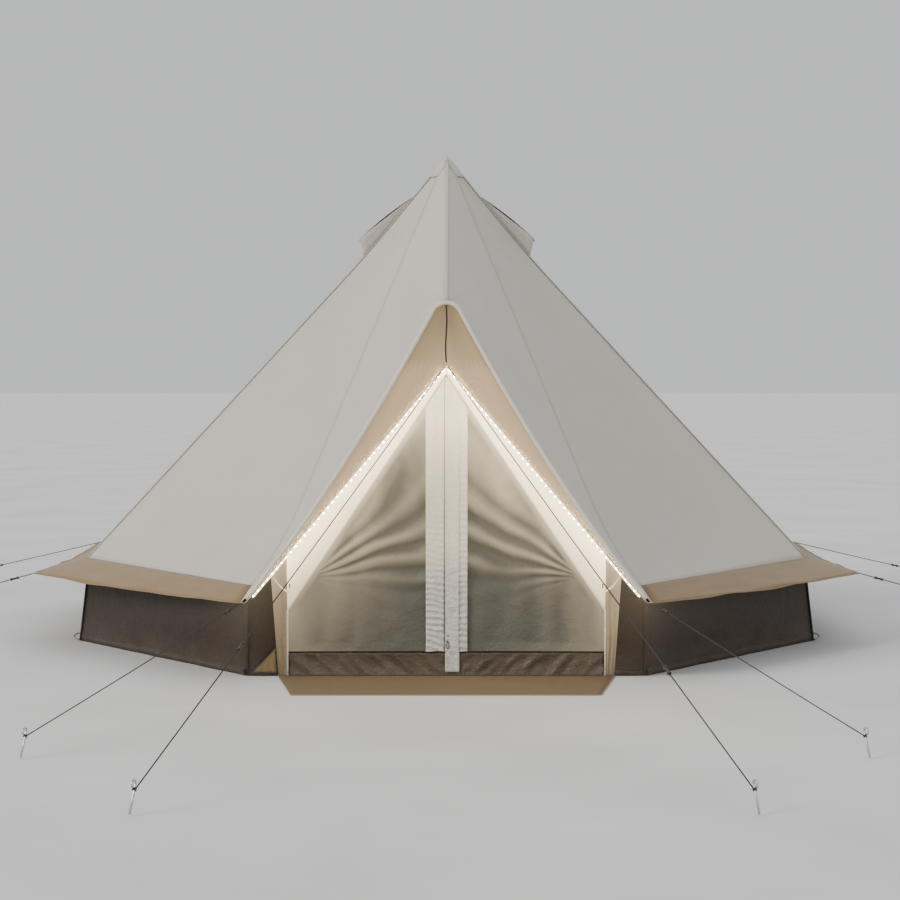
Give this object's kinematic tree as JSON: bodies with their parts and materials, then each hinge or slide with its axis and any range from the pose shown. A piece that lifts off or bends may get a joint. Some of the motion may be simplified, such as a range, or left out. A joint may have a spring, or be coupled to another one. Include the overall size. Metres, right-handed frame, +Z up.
{
  "type": "bell tent",
  "caption": "Octagonal bell tent with a zipped A-frame doorway, a lit projecting hood, low side walls, two roof vents and staked guy lines.",
  "frame": {"origin": "on the ground under the centre pole, at the middle of the groundsheet's underside", "axes": "+Z up; the doorway faces -Y; +X to the right of someone who looks at the doorway from outside"},
  "size_m": [6.8624, 7.5027, 2.704],
  "materials": {
    "roof_cloth": "matte",
    "band_cloth": "matte",
    "wall_cloth": "matte",
    "cream_cloth": "matte",
    "gusset_cloth": "matte",
    "door_cloth": "satin",
    "strip_cloth": "matte",
    "sill_cloth": "satin",
    "mat_cloth": "matte",
    "floor_cloth": "satin",
    "vent_mesh": "matte",
    "led": "gloss",
    "webbing": "matte",
    "rope": "matte",
    "plastic": "matte",
    "steel": "satin"
  },
  "bodies": {
    "tent": {"a_frame_elbow": "steel", "a_frame_leg_left": "steel", "a_frame_leg_right": "steel", "canopy": "roof_cloth", "door_sill": "sill_cloth", "eave_band": "band_cloth", "entry_mat": "mat_cloth", "front_wall": "cream_cloth", "groundsheet": "floor_cloth", "hood_gusset": "gusset_cloth", "hood_trim": "strip_cloth", "led_strip_left": "led", "led_strip_right": "led", "line_ring": "steel", "peak_cap": "roof_cloth", "peak_strap": "webbing", "pole_foot": "plastic", "pole_lower": "steel", "pole_upper": "steel", "rope_back_left": "rope", "rope_back_right": "rope", "rope_back_side_left": "rope", "rope_back_side_right": "rope", "rope_door_left": "rope", "rope_door_right": "rope", "rope_front_left": "rope", "rope_front_right": "rope", "rope_side_left": "rope", "rope_side_right": "rope", "side_wall_left": "wall_cloth", "side_wall_right": "wall_cloth", "stake_back_left": "steel", "stake_back_right": "steel", "stake_back_side_left": "steel", "stake_back_side_right": "steel", "stake_door_left": "steel", "stake_door_right": "steel", "stake_front_left": "steel", "stake_front_right": "steel", "stake_side_left": "steel", "stake_side_right": "steel", "vent_mesh_left": "vent_mesh", "vent_mesh_right": "vent_mesh"},
    "door_leaf_left": {"door_left": "door_cloth"},
    "door_leaf_right": {"door_right": "door_cloth", "door_strip": "strip_cloth"},
    "zip_slider": {"zip_pull": "plastic"},
    "vent_flap_left": {"vent_hood_left": "roof_cloth"},
    "vent_flap_right": {"vent_hood_right": "roof_cloth"},
    "port_cover": {"port_flap": "sill_cloth"},
    "tensioner_door_left": {"slider_door_left": "plastic"},
    "tensioner_door_right": {"slider_door_right": "plastic"},
    "tensioner_front_left": {"slider_front_left": "plastic"},
    "tensioner_front_right": {"slider_front_right": "plastic"},
    "tensioner_side_left": {"slider_side_left": "plastic"},
    "tensioner_side_right": {"slider_side_right": "plastic"},
    "tensioner_back_side_left": {"slider_back_side_left": "plastic"},
    "tensioner_back_side_right": {"slider_back_side_right": "plastic"},
    "tensioner_back_left": {"slider_back_left": "plastic"},
    "tensioner_back_right": {"slider_back_right": "plastic"}
  },
  "joints": [
    {"name": "door_left_swing", "type": "hinge", "parent": "tent", "child": "door_leaf_left", "pos_m": [-0.3745, -1.9785, 0.8712], "axis": [-0.5573, 0, -0.8303], "range_deg": [0, 60]},
    {"name": "door_right_swing", "type": "hinge", "parent": "tent", "child": "door_leaf_right", "pos_m": [0.3745, -1.9785, 0.8712], "axis": [-0.5573, 0, 0.8303], "range_deg": [0, 60]},
    {"name": "zip_run", "type": "slide", "parent": "door_leaf_right", "child": "zip_slider", "axis": [0, 0, 1], "range_m": [-0.04, 1.08]},
    {"name": "vent_left_lift", "type": "hinge", "parent": "tent", "child": "vent_flap_left", "pos_m": [-0.19, 0, 2.46064], "axis": [0, 1, 0], "range_deg": [-8, 25]},
    {"name": "vent_right_lift", "type": "hinge", "parent": "tent", "child": "vent_flap_right", "pos_m": [0.19, 0, 2.46064], "axis": [0, -1, 0], "range_deg": [-8, 25]},
    {"name": "port_cover_lift", "type": "hinge", "parent": "tent", "child": "port_cover", "pos_m": [-0.863, -2.01107, 0.08], "axis": [-0.6177, 0.4054, -0.6739], "range_deg": [0, 90]},
    {"name": "tensioner_door_left_run", "type": "slide", "parent": "tent", "child": "tensioner_door_left", "axis": [-0.3161, -0.8429, -0.4355], "range_m": [-0.3, 0.3]},
    {"name": "tensioner_door_right_run", "type": "slide", "parent": "tent", "child": "tensioner_door_right", "axis": [0.3162, -0.8431, -0.4349], "range_m": [-0.3, 0.3]},
    {"name": "tensioner_front_left_run", "type": "slide", "parent": "tent", "child": "tensioner_front_left", "axis": [-0.3467, -0.9218, -0.1734], "range_m": [-0.08, 0.3]},
    {"name": "tensioner_front_right_run", "type": "slide", "parent": "tent", "child": "tensioner_front_right", "axis": [0.3467, -0.9218, -0.1734], "range_m": [-0.08, 0.3]},
    {"name": "tensioner_side_left_run", "type": "slide", "parent": "tent", "child": "tensioner_side_left", "axis": [-0.8988, -0.3736, -0.2294], "range_m": [-0.06, 0.25]},
    {"name": "tensioner_side_right_run", "type": "slide", "parent": "tent", "child": "tensioner_side_right", "axis": [0.8988, -0.3736, -0.2294], "range_m": [-0.06, 0.25]},
    {"name": "tensioner_back_side_left_run", "type": "slide", "parent": "tent", "child": "tensioner_back_side_left", "axis": [-0.9005, 0.3743, -0.2214], "range_m": [-0.25, 0.25]},
    {"name": "tensioner_back_side_right_run", "type": "slide", "parent": "tent", "child": "tensioner_back_side_right", "axis": [0.9005, 0.3743, -0.2214], "range_m": [-0.25, 0.25]},
    {"name": "tensioner_back_left_run", "type": "slide", "parent": "tent", "child": "tensioner_back_left", "axis": [-0.3418, 0.8218, -0.4558], "range_m": [-0.12, 0.15]},
    {"name": "tensioner_back_right_run", "type": "slide", "parent": "tent", "child": "tensioner_back_right", "axis": [0.3418, 0.8218, -0.4558], "range_m": [-0.12, 0.15]}
  ]
}
